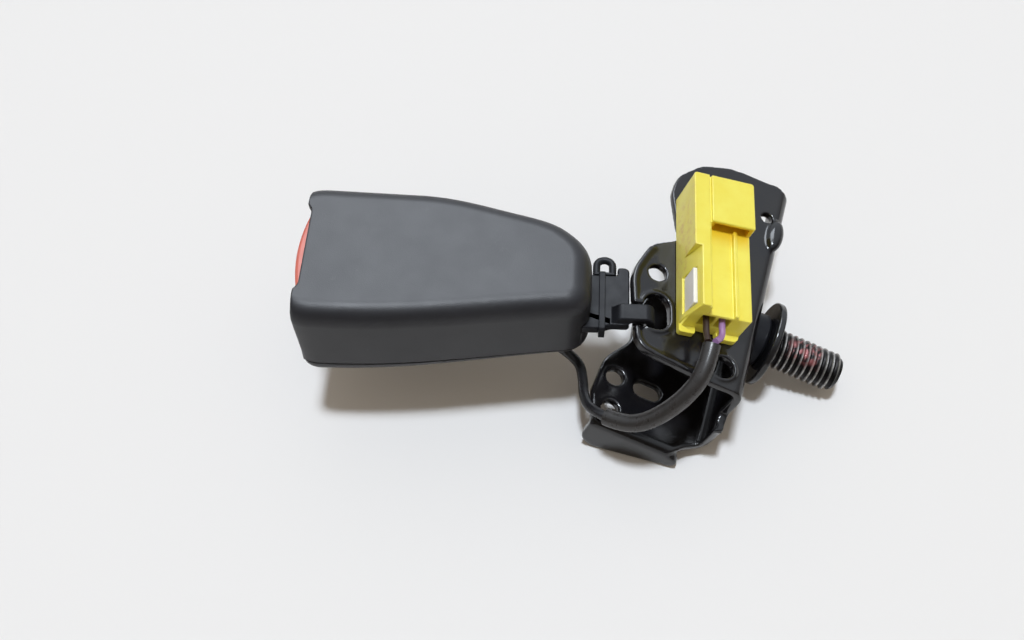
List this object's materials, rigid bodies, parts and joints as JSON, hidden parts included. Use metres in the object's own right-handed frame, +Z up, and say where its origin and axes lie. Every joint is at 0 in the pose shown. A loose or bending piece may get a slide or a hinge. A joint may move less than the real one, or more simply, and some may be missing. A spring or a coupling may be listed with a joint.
{
  "type": "seat belt buckle",
  "caption": "Seat belt buckle with a push button, on a steel strap hooked to a stamped anchor bracket with its bolt, switch cable and plug.",
  "frame": {"origin": "middle of the bounding box's underside, on the floor that the bracket's lip stands on; the cable, its sleeve and the two wires aren't counted", "axes": "+X from the tongue mouth to the anchor bolt, +Y to the side where the bracket's long arm is, +Z up"},
  "size_m": [0.1474, 0.0816, 0.0485],
  "materials": {
    "casing": "fine grained, matte",
    "guide": "matte",
    "button": "satin",
    "pressed_steel": "satin zinc plated",
    "strap": "semi-gloss black coat",
    "bracket": "gloss black dip coat",
    "spring_steel": "bright drawn wire",
    "acetal": "satin",
    "magnet": "ground",
    "switch": "matte",
    "board": "matte laminate",
    "bolt": "black, worn to silver on the flanks",
    "connector": "satin",
    "lock_white": "satin",
    "terminal": "tinned",
    "cable": "matte sheath",
    "sleeve": "satin vinyl",
    "wire_black": "satin",
    "wire_lilac": "satin",
    "grommet": "matte"
  },
  "bodies": {
    "buckle": {"upper_cover": "casing", "lower_cover": "casing", "tongue_guide": "guide", "buckle_frame": "pressed_steel", "anchor_strap": "strap", "frame_rivet": "pressed_steel", "strap_clip": "strap", "latch_pin": "pressed_steel", "button_springs": "spring_steel", "ejector_spring": "spring_steel", "latch_spring": "spring_steel", "switch_housing": "switch", "switch_board": "board", "switch_cap": "switch", "anchor_bracket": "bracket", "spacer_bush": "bracket", "connector_housing": "connector", "connector_terminals": "terminal", "switch_lead": "cable", "lead_grommet": "grommet", "switch_cable": "cable", "cable_sleeve": "sleeve", "black_wire": "wire_black", "lilac_wire": "wire_lilac"},
    "button_body": {"release_button": "button"},
    "lock_bar_body": {"lock_bar": "pressed_steel"},
    "latch_body": {"latch": "pressed_steel"},
    "ejector_body": {"ejector": "acetal", "ejector_magnet": "magnet"},
    "bolt_body": {"anchor_bolt": "bolt", "captive_washer": "bracket"},
    "connector_lock_body": {"connector_lock": "lock_white"}
  },
  "joints": [
    {"name": "button_press", "type": "slide", "parent": "buckle", "child": "button_body", "axis": [1, 0, 0], "range_m": [0, 0.0045], "stiffness_N_per_m": 600, "deforming": ["button_springs"]},
    {"name": "lock_bar_slide", "type": "slide", "parent": "buckle", "child": "lock_bar_body", "axis": [1, 0, 0], "range_m": [0, 0.0045]},
    {"name": "ejector_slide", "type": "slide", "parent": "buckle", "child": "ejector_body", "axis": [1, 0, 0], "range_m": [0, 0.009], "stiffness_N_per_m": 400, "deforming": ["ejector_spring"]},
    {"name": "latch_swing", "type": "hinge", "parent": "buckle", "child": "latch_body", "pos_m": [-0.03344, -0.00697, 0.0389], "axis": [0, -1, 0], "range_deg": [0, 12.01], "deforming": ["latch_spring"]},
    {"name": "bolt_spin", "type": "hinge", "parent": "buckle", "child": "bolt_body", "pos_m": [0.04648, -0.00568, 0.01402], "axis": [0.9327, -0.2326, -0.2756], "continuous": true},
    {"name": "connector_lock_slide", "type": "slide", "parent": "buckle", "child": "connector_lock_body", "axis": [-0.9634, -0.0004, 0.268], "range_m": [0, 0.0015]}
  ],
  "couplings": [
    {"joint": "lock_bar_slide", "follows": "button_press", "ratio": 1},
    {"joint": "latch_swing", "follows": "ejector_slide", "rad_per_m": 23.271}
  ]
}
